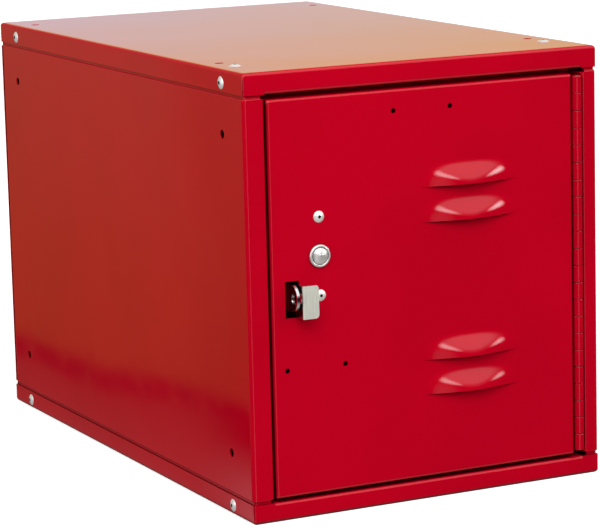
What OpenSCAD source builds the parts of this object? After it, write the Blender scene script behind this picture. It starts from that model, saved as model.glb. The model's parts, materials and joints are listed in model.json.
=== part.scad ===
// School box locker: one compartment in folded sheet metal, with a louvred door on a
// continuous hinge, a padlock staple, and a pull plate that is also the hasp.
// Frame: X to the right across the front, Y towards the back, Z up.
// Origin: centre of the footprint, on the plane that the cabinet stands on.
// Lengths are in millimetres.

/* [Cabinet] */
// Overall width, across the two side panels
cabinet_w = 285; // [275:1:305]
// Overall depth, from front to back
cabinet_d = 465; // [440:1:500]
// Overall height
cabinet_h = 320; // [310:1:340]
// Thickness of the cabinet's sheet metal
sheet_t = 1.0; // [0.8:0.1:1.1]
// Inside radius of every fold
fold_r = 1.0; // [0.8:0.1:1.1]

/* [Pans] */
// Height of the top pan's flanges
top_flange_h = 15.8; // [15:0.1:17]
// Height of the bottom pan's flanges
bottom_flange_h = 14.2; // [13:0.1:16]
// Height of the lip that the top and bottom edges of the door stop against
pan_lip_h = 10; // [8:0.5:12]

/* [Side panels] */
// Height of the step where a side panel tucks into a pan
seam_h = 3.1; // [2.8:0.1:3.5]
// Width of the front stile on the lock side
left_stile_w = 16.3; // [15:0.1:18]
// Width of the front stile on the hinge side
right_stile_w = 12.5; // [12:0.1:14]
// Depth of the front frame, from its face to the door stop
jamb_depth = 15.8; // [15.5:0.1:18]
// Width of the door stop on the lock side
stop_w = 12.2; // [11:0.1:13]
// Width of the flanges at the top and bottom of a side panel
side_flange_w = 25; // [22:1:30]
// Width of the flange that the back panel is riveted to
rear_return_w = 16; // [14:1:20]

/* [Bolt holes] */
// Radius of the holes that join this locker to its neighbours
joining_hole_r = 3.25; // [3:0.05:3.5]
// Distance between the front and rear holes of a side panel
side_hole_pitch_y = 394.5; // [380:0.5:400]
// Distance between the upper and lower holes of a side panel
side_hole_pitch_z = 228.6; // [220:0.1:235]
// Distance across the holes in the top and bottom
pan_hole_pitch_x = 254; // [250:1:256]
// Distance between the front and rear holes in the top and bottom
pan_hole_pitch_y = 355; // [340:1:360]
// Distance that those holes' centre lies behind the cabinet's centre
pan_hole_shift_y = 15; // [10:1:20]

/* [Door] */
// Thickness of the door's sheet
door_t = 1.2; // [1:0.1:1.3]
// Depth of the flanges around the door
door_flange_d = 14; // [13:0.1:14]
// Gap between the door and the frame on the lock side
door_side_gap = 1.5; // [1.2:0.1:2]
// Gap above the door
door_top_gap = 3.8; // [3:0.1:4.5]
// Gap below the door
door_bottom_gap = 2.6; // [2:0.1:3.5]
// Width of the turned-in edge behind the lock-side and hinge-side flanges
door_return_w = 8; // [6:0.5:9]
// Distance between the two holes of the number plate, and of the card holder
plate_hole_pitch = 45.8; // [44:0.1:48]
// Radius of those holes
plate_hole_r = 1.9; // [1.6:0.1:2.2]

/* [Louvres] */
// Width of a louvre
louvre_w = 72; // [66:1:78]
// Height of a louvre
louvre_h = 15; // [13:0.5:17]
// How far a louvre stands out from the door
louvre_proud = 6.5; // [5:0.5:8]
// Distance between the two louvres of a pair
louvre_pitch = 25.4; // [22:0.1:28]
// Place of the louvres' centre, right of the cabinet's centre
louvre_x = 34.5; // [30:0.5:38]

/* [Hinge] */
// Outside radius of the knuckles
knuckle_r = 3.95; // [3.8:0.05:4]
// Length of one knuckle with its gap
knuckle_pitch = 12.7; // [12:0.1:14]
// Radius of the hinge pin
hinge_pin_r = 2.4; // [2.3:0.05:2.4]
// How far the hinge axis lies behind the door's face
hinge_inset = 1.0; // [1:0.1:1.5]

/* [Lock] */
// Height of the centre of the padlock hole
padlock_z = 160; // [158:0.5:162]
// Radius of the padlock hole
padlock_hole_r = 3.9; // [3.2:0.1:4]
// How far the staple stands out from the door
staple_proud = 10.5; // [10:0.1:11]
// Thickness of the staple
staple_t = 2.0; // [1.8:0.1:2.2]
// Thickness of the pull plate
pull_t = 1.5; // [1.2:0.1:1.6]
// Width of the part of the pull plate that the fingers hold
pull_w = 12.4; // [12:0.1:16]
// Height of that part
pull_h = 23.6; // [22:0.1:24.4]
// Height of the slot that the staple and the pull plate come through
slot_h = 26.2; // [26:0.1:28]
// Radius of the staple's round nose
staple_nose_r = 9.7; // [8:0.1:9.8]
// Radius of the hole for a built-in lock, which the plug closes
lock_hole_r = 6.35; // [6:0.05:6.5]

/* [Hidden] */
$fn = 48;

red = [0.72, 0.02, 0.10];
bright_metal = [0.80, 0.80, 0.78];
zinc = [0.72, 0.72, 0.70];
chrome = [0.86, 0.87, 0.89];
black_rubber = [0.08, 0.08, 0.08];

// A little more than nothing, so that a cut runs clear past a face
cut = 1;
// Gap between sheets that lie on each other
fit_gap = 0.1;

half_w = cabinet_w / 2;
half_d = cabinet_d / 2;
front_y = -half_d;
bend_r = fold_r + sheet_t;
door_bend_r = fold_r + door_t;

// Side panels: the full face runs between the seams, and the edges beyond them step in
panel_lo = bottom_flange_h + seam_h;
panel_hi = cabinet_h - top_flange_h - seam_h;
panel_h = panel_hi - panel_lo;
tuck = sheet_t + fit_gap;
tuck_rise = 0.75 * seam_h;
rear_y = half_d - tuck - sheet_t;

// Door opening
left_jamb_x = -half_w + left_stile_w;
right_jamb_x = half_w - right_stile_w;
stop_y = front_y + jamb_depth;
pan_top_gap = 0.3;

// Hinge and door
running_gap = 0.05;
knuckle_gap = 0.3;
hinge_x = right_jamb_x - knuckle_r - running_gap;
hinge_y = front_y + hinge_inset;
knuckle_count = 2 * floor(panel_h / (2 * knuckle_pitch));
hinge_len = knuckle_count * knuckle_pitch;
hinge_lo = (panel_lo + panel_hi - hinge_len) / 2;
leaf_t = 1.4;
leaf_reach = knuckle_r - running_gap;
leaf_clearance = 0.35;
leaf_front_y = hinge_y + knuckle_r + leaf_clearance;
leaf_w = 8.2;
door_left = left_jamb_x + door_side_gap;
door_right = hinge_x - knuckle_r - running_gap;
door_lo = bottom_flange_h + door_bottom_gap;
door_hi = cabinet_h - top_flange_h - door_top_gap;
door_back_y = front_y + door_flange_d;

// Lock: the staple comes out through a slot in the door, beside the pull plate's leg.
// Its parts are placed from the door's lock-side edge and from the padlock hole.
slot_inset = 10.7;
slot_w = 11;
slot_drop = 1.3;
staple_inset = 4.3;
plug_inset = 16.6;
plug_rise = 27.7;
slot_left = door_left + slot_inset;
slot_right = slot_left + slot_w;
staple_x = slot_left + staple_inset;
leg_x = slot_right - fold_r - fit_gap - pull_t;
grip_lo = padlock_z - 14.2;
lock_x = slot_right + plug_inset;
lock_z = padlock_z + plug_rise;
lock_rivet_drop = 28.2;
lock_rivet_rise = 27.8;
lock_rivet_zs = [lock_z - lock_rivet_drop, lock_z + lock_rivet_rise];
pull_proud = 11;
pull_plate_y = front_y - pull_proud + pull_t;
pull_back_y = front_y + door_t + running_gap;
padlock_y = front_y - 5;
spring_t = 0.5;

// Rivets: a flat dome outside, and a wider blind end inside
small_rivet = [3.0, 1.2, 1.6];
door_rivet = [4.25, 1.6, 2.0];
frame_rivet = [4.7, 1.6, 2.4];
rivet_hole_gap = 0.05;

// Things on the door, placed from its own edges
number_plate_x = -2.7;
number_plate_z = door_hi - 15.2;
card_holder_x = door_left + 34;
card_holder_z = door_lo + 91.4;
upper_louvre_z = door_hi - 71.8;
lower_louvre_z = door_lo + 86;
louvre_lips = [upper_louvre_z, lower_louvre_z];

// ---- Folded sheet ----

// A strip of sheet folded along a path in plan. Each step is [straight length, turn
// after it], and a positive turn goes left. The sheet lies left of the path, h high.
module folded_strip(steps, t, h, i = 0) {
    if (i < len(steps)) {
        run = steps[i][0];
        turn = steps[i][1];
        cube([run, t, h]);
        translate([run, 0, 0]) {
            fold(turn, t, h);
            past_fold(turn, t) folded_strip(steps, t, h, i + 1);
        }
    }
}

function fold_centre(turn, t) = turn > 0 ? t + fold_r : -fold_r;

module fold(turn, t, h) {
    if (turn != 0)
        translate([0, fold_centre(turn, t), 0])
            rotate([0, 0, turn > 0 ? -90 : 90 + turn])
                rotate_extrude(angle = abs(turn)) translate([fold_r, 0]) square([t, h]);
}

module past_fold(turn, t) {
    centre = fold_centre(turn, t);
    translate([0, centre, 0]) rotate([0, 0, turn]) translate([0, -centre, 0]) children();
}

// Stands a plan path up so that it runs in the XZ plane and extends towards the front
module path_in_xz(place, heading) {
    translate(place) rotate([90, 0, 0]) rotate([0, 0, heading]) children();
}

// Stands a plan path up so that it runs in the YZ plane and extends towards +X
module path_in_yz(place, heading) {
    translate(place) rotate([90, 0, 90]) rotate([0, 0, heading]) children();
}

// ---- Fasteners ----

// A blind rivet on the Z axis: its head is above z = 0, and it holds sheets below it.
// size is [head radius, head height, shank radius]
module blind_rivet(size, grip) {
    head_r = size[0];
    head_h = size[1];
    shank_r = size[2];
    dome_r = (head_r * head_r + head_h * head_h) / (2 * head_h);
    tail_h = 1.5 * shank_r;
    difference() {
        union() {
            intersection() {
                translate([0, 0, head_h - dome_r]) sphere(r = dome_r);
                cylinder(r = head_r + cut, h = head_h + cut);
            }
            translate([0, 0, -grip - cut]) cylinder(r = shank_r, h = grip + 1.5 * cut);
            translate([0, 0, -grip - tail_h]) cylinder(r = 1.25 * shank_r, h = tail_h);
        }
        translate([0, 0, -grip]) cylinder(r = 0.5 * shank_r, h = grip + head_h + cut);
    }
}

module rivet_hole(size) {
    cylinder(r = size[2] + rivet_hole_gap, h = 8, center = true);
}

// Children on the Z axis are laid so that they point out of a face
module facing_left() { rotate([0, -90, 0]) children(); }
module facing_right() { rotate([0, 90, 0]) children(); }
module facing_front() { rotate([90, 0, 0]) children(); }
module facing_back() { rotate([-90, 0, 0]) children(); }

// The places of each group of rivets and holes
module at_pan_holes() {
    for (x = [-1, 1], y = [-1, 1])
        translate([x * pan_hole_pitch_x / 2, pan_hole_shift_y + y * pan_hole_pitch_y / 2, 0])
            children();
}

module at_side_holes() {
    for (y = [-1, 1], z = [-1, 1])
        translate([0, y * side_hole_pitch_y / 2, cabinet_h / 2 + z * side_hole_pitch_z / 2])
            children();
}

side_rivet_zs = [bottom_flange_h / 2, cabinet_h - 0.6 * top_flange_h];

module at_side_rivets() {
    for (y = [-1, 1], z = side_rivet_zs)
        translate([0, y * side_hole_pitch_y / 2, z]) children();
}

top_rivet_y = front_y + 46;
top_rivet_x = half_w - 16.5;

module at_top_rivets() {
    for (x = [-1, 1]) translate([x * top_rivet_x, top_rivet_y, 0]) children();
}

back_rivet_x = half_w - 9;
pan_rivet_x = 0.63 * half_w;

module at_back_side_rivets() {
    for (x = [-1, 1], z = [-1, 0, 1])
        translate([x * back_rivet_x, 0, cabinet_h / 2 + z * side_hole_pitch_z / 2]) children();
}

module at_back_pan_rivets() {
    for (x = [-1, 0, 1], z = side_rivet_zs)
        translate([x * pan_rivet_x, 0, z]) children();
}

hinge_rivet_count = 6;
hinge_rivet_y = leaf_front_y + leaf_w / 2;

module at_hinge_rivets() {
    for (i = [0 : hinge_rivet_count - 1])
        translate([0, hinge_rivet_y, hinge_lo + hinge_len * (i + 0.5) / hinge_rivet_count])
            children();
}

module at_lock_rivets() {
    for (z = lock_rivet_zs) translate([lock_x, 0, z]) children();
}

staple_rivet_x = left_jamb_x + 6.2;
staple_rivet_dz = 9.8;

module at_staple_rivets() {
    for (z = [-1, 1]) translate([staple_rivet_x, 0, padlock_z + z * staple_rivet_dz]) children();
}

// ---- Cabinet ----

// A shallow tray, open side up. Between the stiles its front flange is folded in, and
// then up, to frame the door opening.
module pan(flange_h) {
    open_left = left_jamb_x + pan_top_gap;
    open_right = right_jamb_x - pan_top_gap;
    across = cabinet_w - 2 * bend_r;
    along = cabinet_d - 2 * bend_r;
    flange = flange_h - bend_r;
    plain = [[flange, 90], [along, 90], [flange, 0]];
    framed = [
        [pan_lip_h - fold_r, -90], [jamb_depth - fold_r - bend_r, 90],
        [flange_h - 2 * bend_r, 90], [along, 90], [flange, 0]
    ];
    difference() {
        union() {
            path_in_xz([-half_w, half_d - bend_r, flange_h], -90)
                folded_strip([[flange, 90], [across, 90], [flange, 0]], sheet_t, along);
            path_in_yz([-half_w + bend_r, front_y, flange_h], -90)
                folded_strip(plain, sheet_t, open_left + half_w - bend_r);
            path_in_yz([open_right, front_y, flange_h], -90)
                folded_strip(plain, sheet_t, half_w - bend_r - open_right);
            path_in_yz([open_left, stop_y, flange_h + pan_lip_h], -90)
                folded_strip(framed, sheet_t, open_right - open_left);
            for (x = [0, 1], y = [0, 1])
                mirror([x, 0, 0]) mirror([0, y, 0]) pan_corner(flange);
        }
        // The lip stops short of the lock-side stop, which stands in the same plane
        translate([open_left - cut, stop_y - cut, flange_h + pan_top_gap])
            cube([stop_w + cut, 2 * cut + sheet_t, pan_lip_h + cut]);
        translate([open_left - cut, stop_y - fold_r - cut, flange_h + fold_r])
            cube([stop_w + cut, 2 * cut + fold_r + sheet_t, pan_lip_h + cut]);
        at_pan_holes() cylinder(r = joining_hole_r, h = 4 * cut, center = true);
    }
}

// The upright corner where two flanges meet
module pan_corner(flange) {
    translate([-half_w, -half_d, bend_r]) difference() {
        cube([bend_r, bend_r, flange]);
        translate([sheet_t, sheet_t, -cut]) cube([bend_r, bend_r, flange + 2 * cut]);
    }
}

module pan_rivet_holes(z) {
    for (side = [-1, 1], y = [-1, 1])
        translate([side * half_w, y * side_hole_pitch_y / 2, z])
            facing_right() rivet_hole(frame_rivet);
    for (x = [-1, 0, 1])
        translate([x * pan_rivet_x, half_d, z]) facing_back() rivet_hole(frame_rivet);
}

module bottom_pan() {
    color(red) difference() {
        pan(bottom_flange_h);
        pan_rivet_holes(side_rivet_zs[0]);
    }
}

module top_pan() {
    color(red) difference() {
        translate([0, 0, cabinet_h]) mirror([0, 0, 1]) pan(top_flange_h);
        pan_rivet_holes(side_rivet_zs[1]);
        translate([0, 0, cabinet_h]) at_top_rivets() rivet_hole(frame_rivet);
    }
}

// The section of an edge beyond a seam: a step in by one sheet, then a web, then a
// flange if flange_w is not 0. X is the distance inwards, and Y is the distance out.
// The web's corner is cut back to clear the inside of the pan's fold.
function tucked_section(web_h, flange_w) = concat(
    [[sheet_t, 0], [0, 0], [tuck, tuck_rise], [tuck, web_h - fold_r]],
    flange_w > 0
        ? [
            [tuck + fold_r, web_h], [flange_w, web_h], [flange_w, web_h - sheet_t],
            [tuck + sheet_t, web_h - sheet_t]
        ]
        : [[tuck + sheet_t, web_h - fold_r]],
    [[tuck + sheet_t, tuck_rise]]
);

// The left-hand panel. stop is the end of its plan path, behind the jamb.
module side_panel(stile_w, stop) {
    wall = [
        [rear_return_w - bend_r, 90], [rear_y - front_y - 2 * bend_r, 90],
        [stile_w - 2 * bend_r, 90]
    ];
    web_hs = [panel_lo - tuck, cabinet_h - tuck - panel_hi];
    corner = bend_r + fold_r;
    translate([-half_w + rear_return_w, rear_y, panel_lo]) rotate([0, 0, 180])
        folded_strip(concat(wall, stop), sheet_t, panel_h);
    for (end = [0, 1])
        translate([0, 0, end == 0 ? panel_lo : panel_hi]) mirror([0, 0, 1 - end]) {
            translate([-half_w, rear_y - corner, 0]) rotate([90, 0, 0])
                linear_extrude(rear_y - front_y - 2 * corner)
                    polygon(tucked_section(web_hs[end], side_flange_w));
            translate([-half_w + bend_r, front_y, 0]) rotate([90, 0, 90])
                linear_extrude(stile_w - 2 * bend_r)
                    polygon(tucked_section(web_hs[end], 0));
        }
}

module side_panel_holes() {
    at_pan_holes() cylinder(r = joining_hole_r, h = 2 * cabinet_h + cut);
    at_top_rivets() translate([0, 0, cabinet_h]) rivet_hole(frame_rivet);
    for (side = [-1, 1]) translate([side * half_w, 0, 0]) {
        at_side_holes() facing_right() cylinder(r = joining_hole_r, h = 4 * cut, center = true);
        at_side_rivets() facing_right() rivet_hole(frame_rivet);
    }
    translate([0, rear_y, 0]) at_back_side_rivets() facing_back() rivet_hole(frame_rivet);
}

module left_side_panel() {
    stop = [[jamb_depth - fold_r - bend_r, -90], [stop_w - fold_r, 0]];
    color(red) difference() {
        side_panel(left_stile_w, stop);
        side_panel_holes();
        translate([0, stop_y, 0]) at_staple_rivets() facing_front() rivet_hole(small_rivet);
    }
}

module right_side_panel() {
    edge_gap = 3;
    stop = [[jamb_depth - 2 * bend_r, 90], [right_stile_w - bend_r - sheet_t - edge_gap, 0]];
    color(red) difference() {
        mirror([1, 0, 0]) side_panel(right_stile_w, stop);
        side_panel_holes();
        translate([right_jamb_x, 0, 0]) at_hinge_rivets() facing_left() rivet_hole(small_rivet);
    }
}

// A flat sheet whose top and bottom edges are narrower, to tuck into the pans
module back_panel() {
    inner_lo = bend_r + fit_gap;
    inner_h = cabinet_h - 2 * inner_lo;
    color(red) difference() {
        union() {
            translate([-half_w, rear_y + running_gap, panel_lo])
                cube([cabinet_w, sheet_t, panel_h]);
            translate([-half_w + tuck, rear_y + running_gap, inner_lo])
                cube([cabinet_w - 2 * tuck, sheet_t, inner_h]);
        }
        translate([0, rear_y, 0]) {
            at_back_side_rivets() facing_back() rivet_hole(frame_rivet);
            at_back_pan_rivets() facing_back() rivet_hole(frame_rivet);
        }
    }
}

// ---- Door ----

louvre_depth = (louvre_h * louvre_h - louvre_proud * louvre_proud) / (2 * louvre_proud);
louvre_r = louvre_depth + louvre_proud;
louvre_straight = louvre_w - 2 * louvre_h;
// The hollow of a louvre breaks through at its lip by this little
louvre_opening = 0.01;

// The upper half of a lozenge with ball ends, which bulges through the door's face
module louvre_bulge(r) {
    intersection() {
        translate([0, louvre_depth, 0]) {
            translate([-louvre_straight / 2, 0, 0]) facing_right()
                cylinder(r = r, h = louvre_straight);
            for (side = [0, 1]) mirror([side, 0, 0])
                translate([louvre_straight / 2, 0, 0]) intersection() {
                    sphere(r = r);
                    translate([0, -2 * r, -2 * r]) cube(4 * r);
                }
        }
        translate([-louvre_w, -louvre_proud - cut, 0])
            cube([2 * louvre_w, louvre_proud + cut + door_t, louvre_h + cut]);
    }
}

module at_louvres() {
    for (lip = louvre_lips, i = [0, 1])
        translate([louvre_x, front_y, lip - i * louvre_pitch]) children();
}

module plate_holes(x, z) {
    for (side = [-1, 1])
        translate([x + side * plate_hole_pitch / 2, front_y, z])
            facing_front() cylinder(r = plate_hole_r, h = 4 * cut, center = true);
}

module door_blank() {
    w = door_right - door_left;
    h = door_hi - door_lo;
    edge = door_return_w - door_bend_r;
    side = door_flange_d - 2 * door_bend_r;
    translate([door_left + door_return_w, door_back_y, door_lo + door_bend_r])
        rotate([0, 0, 180])
            folded_strip(
                [[edge, 90], [side, 90], [w - 2 * door_bend_r, 90], [side, 90], [edge, 0]],
                door_t, h - 2 * door_bend_r
            );
    path_in_yz([door_left + door_bend_r, door_back_y, door_hi], 180)
        folded_strip(
            [[side + door_bend_r, 90], [h - 2 * door_bend_r, 90], [side + door_bend_r, 0]],
            door_t, w - 2 * door_bend_r
        );
}

module door_panel() {
    color(red) difference() {
        union() {
            door_blank();
            at_louvres() louvre_bulge(louvre_r);
        }
        at_louvres() translate([0, 0, -louvre_opening]) louvre_bulge(louvre_r - door_t);
        translate([slot_left, front_y - cut, padlock_z - slot_drop - slot_h / 2])
            cube([slot_right - slot_left, door_t + 2 * cut, slot_h]);
        plate_holes(number_plate_x, number_plate_z);
        plate_holes(card_holder_x, card_holder_z);
        translate([lock_x, front_y, lock_z]) facing_front()
            cylinder(r = lock_hole_r, h = 4 * cut, center = true);
        translate([0, front_y, 0]) at_lock_rivets() facing_front() rivet_hole(door_rivet);
        translate([door_right, 0, 0]) at_hinge_rivets() facing_right() rivet_hole(small_rivet);
    }
}

// Three rubber buttons on the door stop, which quieten the door
module door_bumpers() {
    bumper_r = 4;
    bumper_t = 1.4;
    end_inset = 35;
    middle_rise = 50;
    color(black_rubber)
        for (z = [panel_lo + end_inset, cabinet_h / 2 + middle_rise, panel_hi - end_inset])
            translate([staple_rivet_x, stop_y, z]) facing_front()
                cylinder(r = bumper_r, h = bumper_t);
}

// ---- Hinge ----

// One leaf, on its own side of the axis. Its knuckles are the even ones or the odd ones.
module hinge_leaf(side, first) {
    difference() {
        union() {
            translate([side * (leaf_reach - leaf_t / 2) - leaf_t / 2, leaf_front_y - hinge_y, 0])
                cube([leaf_t, leaf_w, hinge_len]);
            for (i = [first : 2 : knuckle_count - 1])
                translate([0, 0, i * knuckle_pitch + knuckle_gap / 2]) {
                    cylinder(r = knuckle_r, h = knuckle_pitch - knuckle_gap);
                    translate([side * (leaf_reach - leaf_t / 2) - leaf_t / 2, 0, 0])
                        cube([leaf_t, leaf_front_y - hinge_y + cut, knuckle_pitch - knuckle_gap]);
                }
        }
        translate([0, 0, -cut]) cylinder(r = hinge_pin_r + running_gap, h = hinge_len + 2 * cut);
    }
}

module at_hinge() {
    translate([hinge_x, hinge_y, hinge_lo]) children();
}

module hinge_frame_leaf() {
    color(red) difference() {
        at_hinge() hinge_leaf(1, 0);
        translate([right_jamb_x, 0, 0]) at_hinge_rivets() facing_left() rivet_hole(small_rivet);
    }
}

module hinge_door_leaf() {
    color(red) difference() {
        at_hinge() hinge_leaf(-1, 1);
        translate([door_right, 0, 0]) at_hinge_rivets() facing_right() rivet_hole(small_rivet);
    }
}

module hinge_pin() {
    color(zinc) at_hinge() cylinder(r = hinge_pin_r, h = hinge_len);
}

leaf_face_x = leaf_reach - leaf_t;

module hinge_frame_rivets() {
    color(bright_metal) translate([hinge_x + leaf_face_x, 0, 0]) at_hinge_rivets()
        facing_left() blind_rivet(small_rivet, right_jamb_x + sheet_t - hinge_x - leaf_face_x);
}

module hinge_door_rivets() {
    color(bright_metal) translate([hinge_x - leaf_face_x, 0, 0]) at_hinge_rivets()
        facing_right() blind_rivet(small_rivet, hinge_x - leaf_face_x - door_right + door_t);
}

// ---- Lock ----

// A flat hook with a round nose. Its base is riveted behind the door stop.
module padlock_staple() {
    base_y = stop_y + sheet_t;
    base_inset = 2.2;
    base_left = left_jamb_x + base_inset;
    base_h = 28;
    nose_y = front_y - staple_proud + staple_nose_r;
    hook_len = base_y - fold_r - nose_y;
    color(chrome) difference() {
        union() {
            translate([base_left, base_y, padlock_z - base_h / 2])
                cube([staple_x - fold_r - base_left, staple_t, base_h]);
            translate([staple_x - fold_r, base_y, padlock_z - staple_nose_r]) {
                fold(-90, staple_t, 2 * staple_nose_r);
                past_fold(-90, staple_t) cube([hook_len, staple_t, 2 * staple_nose_r]);
            }
            translate([staple_x, nose_y, padlock_z]) facing_right() rotate([0, 0, 180])
                rotate_extrude(angle = 180) square([staple_nose_r, staple_t]);
        }
        padlock_hole();
        translate([0, stop_y, 0]) at_staple_rivets() facing_front() rivet_hole(small_rivet);
    }
}

module padlock_hole() {
    translate([staple_x - cut, padlock_y, padlock_z]) facing_right()
        cylinder(r = padlock_hole_r, h = slot_right - staple_x + 2 * cut);
}

module staple_rivets() {
    color(bright_metal) translate([0, stop_y, 0]) at_staple_rivets()
        facing_front() blind_rivet(small_rivet, sheet_t + staple_t);
}

// A plate with rounded free corners, standing on its long edge at the origin
module pull_face(w, h, t) {
    corner_r = 2.5;
    arc = [0 : 15 : 90];
    top = [for (a = arc) [w - corner_r + corner_r * sin(a), h - corner_r + corner_r * cos(a)]];
    low = [for (a = arc) [w - corner_r + corner_r * cos(a), corner_r - corner_r * sin(a)]];
    facing_front() linear_extrude(t) polygon(concat([[0, 0], [0, h]], top, low));
}

// The pull stands in front of the door, passes back through the slot, and is riveted
// behind the door's face. The leg in the slot carries the padlock hole.
module pull_hasp() {
    margin = 12;
    rise = 36;
    leg_right = leg_x + pull_t;
    grip_w = pull_w - pull_t - fold_r;
    leg_len = pull_back_y - pull_plate_y - 2 * fold_r;
    plate_w = lock_x + margin - leg_right - fold_r;
    plate_h = lock_z + rise - grip_lo;
    color(zinc) difference() {
        union() {
            translate([leg_right + fold_r, pull_plate_y, grip_lo]) {
                pull_face(grip_w, pull_h, pull_t);
                rotate([0, 0, 180]) fold(-90, pull_t, pull_h);
            }
            translate([leg_right, pull_plate_y + fold_r, grip_lo]) rotate([0, 0, 90])
                folded_strip([[leg_len, -90], [cut, 0]], pull_t, pull_h);
            translate([leg_right + fold_r, pull_back_y, grip_lo])
                cube([plate_w, pull_t, plate_h]);
        }
        padlock_hole();
        translate([0, front_y, 0]) at_lock_rivets() facing_front() rivet_hole(door_rivet);
        translate([lock_x, pull_back_y, lock_z]) facing_front()
            cylinder(r = lock_hole_r, h = 4 * cut, center = true);
    }
}

// A leaf spring behind the pull plate, whose finger bears on the side of the staple
module friction_catch() {
    spring_h = 14;
    rivet_margin = 8;
    spring_y = pull_back_y + pull_t + running_gap;
    finger_gap = 1.55;
    finger_x = staple_x + staple_t + finger_gap;
    finger = [[0, 0], [0, 3], [-0.7, 6], [0, 9], [1, 11.5]];
    back = [for (i = [len(finger) - 1 : -1 : 0]) finger[i] + [spring_t, 0]];
    color(zinc) difference() {
        translate([finger_x, spring_y, lock_rivet_zs[0] - spring_h / 2]) {
            cube([lock_x + rivet_margin - finger_x, spring_t, spring_h]);
            linear_extrude(spring_h) polygon(concat(finger, back));
        }
        translate([0, spring_y, 0]) at_lock_rivets() facing_front() rivet_hole(door_rivet);
    }
}

module lock_hole_plug() {
    dome_r = 8.1;
    dome_h = 2.6;
    rim_h = 0.6;
    barrel_r = lock_hole_r - fit_gap;
    barrel_wall = 0.8;
    barrel_l = 6;
    ball_r = (dome_r * dome_r + dome_h * dome_h) / (2 * dome_h);
    color(chrome) translate([lock_x, front_y, lock_z]) facing_front() {
        cylinder(r = dome_r, h = rim_h);
        translate([0, 0, rim_h]) intersection() {
            translate([0, 0, dome_h - ball_r]) sphere(r = ball_r);
            cylinder(r = dome_r + cut, h = dome_h + cut);
        }
        translate([0, 0, -barrel_l]) difference() {
            cylinder(r = barrel_r, h = barrel_l + rim_h / 2);
            translate([0, 0, -cut]) cylinder(r = barrel_r - barrel_wall, h = barrel_l);
        }
    }
}

// The upper one holds the pull to the door, and the lower one holds the catch as well
module lock_rivets() {
    upper_grip = door_t + pull_t + 2 * running_gap;
    lower_grip = upper_grip + spring_t + running_gap;
    grips = [lower_grip, upper_grip];
    color(bright_metal)
        for (i = [0, 1]) translate([lock_x, front_y, lock_rivet_zs[i]])
            facing_front() blind_rivet(door_rivet, grips[i]);
}

// ---- Rivets of the cabinet ----

module left_side_rivets() {
    color(bright_metal) translate([-half_w, 0, 0]) at_side_rivets()
        facing_left() blind_rivet(frame_rivet, tuck + sheet_t);
}

module right_side_rivets() {
    color(bright_metal) translate([half_w, 0, 0]) at_side_rivets()
        facing_right() blind_rivet(frame_rivet, tuck + sheet_t);
}

module top_corner_rivets() {
    color(bright_metal) translate([0, 0, cabinet_h]) at_top_rivets()
        blind_rivet(frame_rivet, tuck + sheet_t);
}

module back_rivets() {
    color(bright_metal) {
        translate([0, rear_y + running_gap + sheet_t, 0]) at_back_side_rivets()
            facing_back() blind_rivet(frame_rivet, 2 * sheet_t + running_gap);
        translate([0, half_d, 0]) at_back_pan_rivets()
            facing_back() blind_rivet(frame_rivet, 2 * sheet_t + fit_gap);
    }
}

top_pan();
bottom_pan();
left_side_panel();
right_side_panel();
back_panel();
door_panel();
hinge_frame_leaf();
hinge_door_leaf();
hinge_pin();
hinge_frame_rivets();
hinge_door_rivets();
pull_hasp();
friction_catch();
lock_hole_plug();
lock_rivets();
padlock_staple();
staple_rivets();
door_bumpers();
left_side_rivets();
right_side_rivets();
top_corner_rivets();
back_rivets();
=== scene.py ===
"""A school box locker in folded, powder-coated sheet metal, built around its CAD frame."""
import json
import math

import bmesh
import bpy
from mathutils import Matrix, Vector


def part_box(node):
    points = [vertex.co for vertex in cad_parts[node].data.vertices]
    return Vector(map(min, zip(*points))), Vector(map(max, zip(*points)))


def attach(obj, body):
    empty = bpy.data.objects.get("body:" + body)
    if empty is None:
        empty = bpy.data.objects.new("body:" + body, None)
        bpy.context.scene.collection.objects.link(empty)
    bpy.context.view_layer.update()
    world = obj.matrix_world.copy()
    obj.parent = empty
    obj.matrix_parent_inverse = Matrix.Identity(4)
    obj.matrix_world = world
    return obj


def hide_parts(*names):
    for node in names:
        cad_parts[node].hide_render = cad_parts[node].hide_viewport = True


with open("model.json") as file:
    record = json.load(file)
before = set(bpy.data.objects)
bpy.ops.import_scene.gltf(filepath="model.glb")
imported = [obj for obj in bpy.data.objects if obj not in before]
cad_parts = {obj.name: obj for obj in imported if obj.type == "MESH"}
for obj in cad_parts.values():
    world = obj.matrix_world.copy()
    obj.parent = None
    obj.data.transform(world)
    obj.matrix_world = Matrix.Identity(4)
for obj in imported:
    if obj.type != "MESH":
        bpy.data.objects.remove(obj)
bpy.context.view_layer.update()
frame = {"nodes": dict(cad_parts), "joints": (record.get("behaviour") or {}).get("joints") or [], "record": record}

# -------- sizes from the frame

MM = 0.001
SHEET = 1.0 * MM
DOOR_SHEET = 1.2 * MM
FOLD = 2.6 * MM  # outside radius of a fold in the cabinet
DOOR_FOLD = 2.2 * MM
CORNER = 1.2 * MM  # radius of the upright corners of a pan
DOOR_CORNER = 1.4 * MM
TUCK = 1.1 * MM  # how far the edges of a side panel step in
TUCK_RISE = 1.4 * MM  # the height over which they do so
LIP_HEIGHT = 10.0 * MM  # of the pans' upright lips in the door opening
STOP_WIDTH = 12.2 * MM  # of the strip behind the door's free edge
SEAM = 3.1 * MM  # from a pan's rim to where a side panel is flush with it
CORNER_SEAM = 0.4 * MM  # the gap between two flanges of a pan
SIDE_FLANGE = 25.0 * MM
REAR_RETURN = 16.0 * MM
JAMB_RETURN = 6.5 * MM
DOOR_RETURN = 8.0 * MM
RUNNING_GAP = 0.05 * MM
PAN_GAP = 0.3 * MM  # beside the pans' lips
CUT_EDGE = 0.2 * MM  # how far a cut edge of sheet is rounded
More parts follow.
